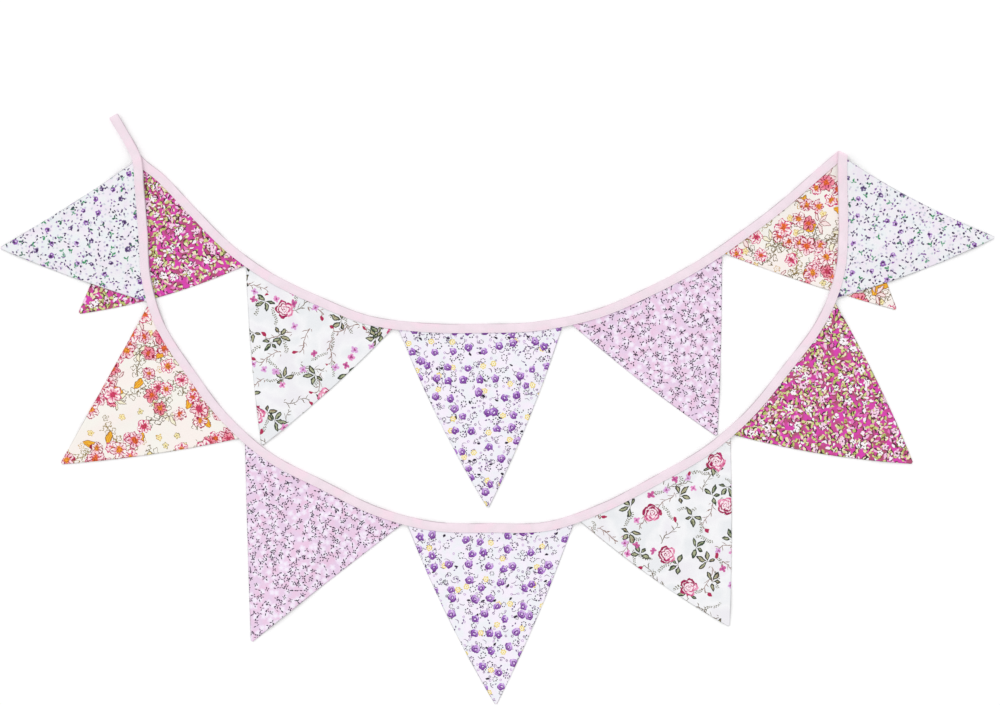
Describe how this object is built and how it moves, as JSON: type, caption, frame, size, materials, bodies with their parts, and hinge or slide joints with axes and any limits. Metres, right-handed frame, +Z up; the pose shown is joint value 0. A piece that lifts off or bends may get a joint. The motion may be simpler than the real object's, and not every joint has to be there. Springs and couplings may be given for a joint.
{
  "type": "fabric bunting",
  "caption": "Cotton bunting laid out in a ring: double-sided triangular pennants in flower prints sewn into a folded binding tape with two free tails.",
  "frame": {"origin": "middle of the whole outline, on the surface that the bunting lies on", "axes": "+X to the right along the layout's longest side, +Y up the layout towards the tails, +Z up from the surface"},
  "size_m": [1.2912, 0.7674, 0.0078],
  "materials": {
    "magenta": "printed cotton, magenta ground with small white, green and brown flowers, matt",
    "rose": "printed cotton, white ground with small pink roses and olive leaves, matt",
    "pansy": "printed cotton, white ground with purple and yellow flowers, matt",
    "ditsy": "printed cotton, pale lilac ground with small soft white flowers, matt",
    "blossom": "printed cotton, cream ground with outlined pink flowers and yellow buds, matt",
    "violet": "printed cotton, white ground with tiny purple buds, matt",
    "tape": "plain pale pink cotton binding, matt"
  },
  "bodies": {
    "root": {"pennant_01": "magenta", "pennant_02": "rose", "pennant_03": "pansy", "pennant_04": "ditsy", "pennant_05": "blossom", "pennant_06": "violet", "pennant_07": "magenta", "pennant_08": "rose", "pennant_09": "pansy", "pennant_10": "ditsy", "pennant_11": "blossom", "pennant_12": "violet", "tape": "tape"}
  },
  "joints": []
}
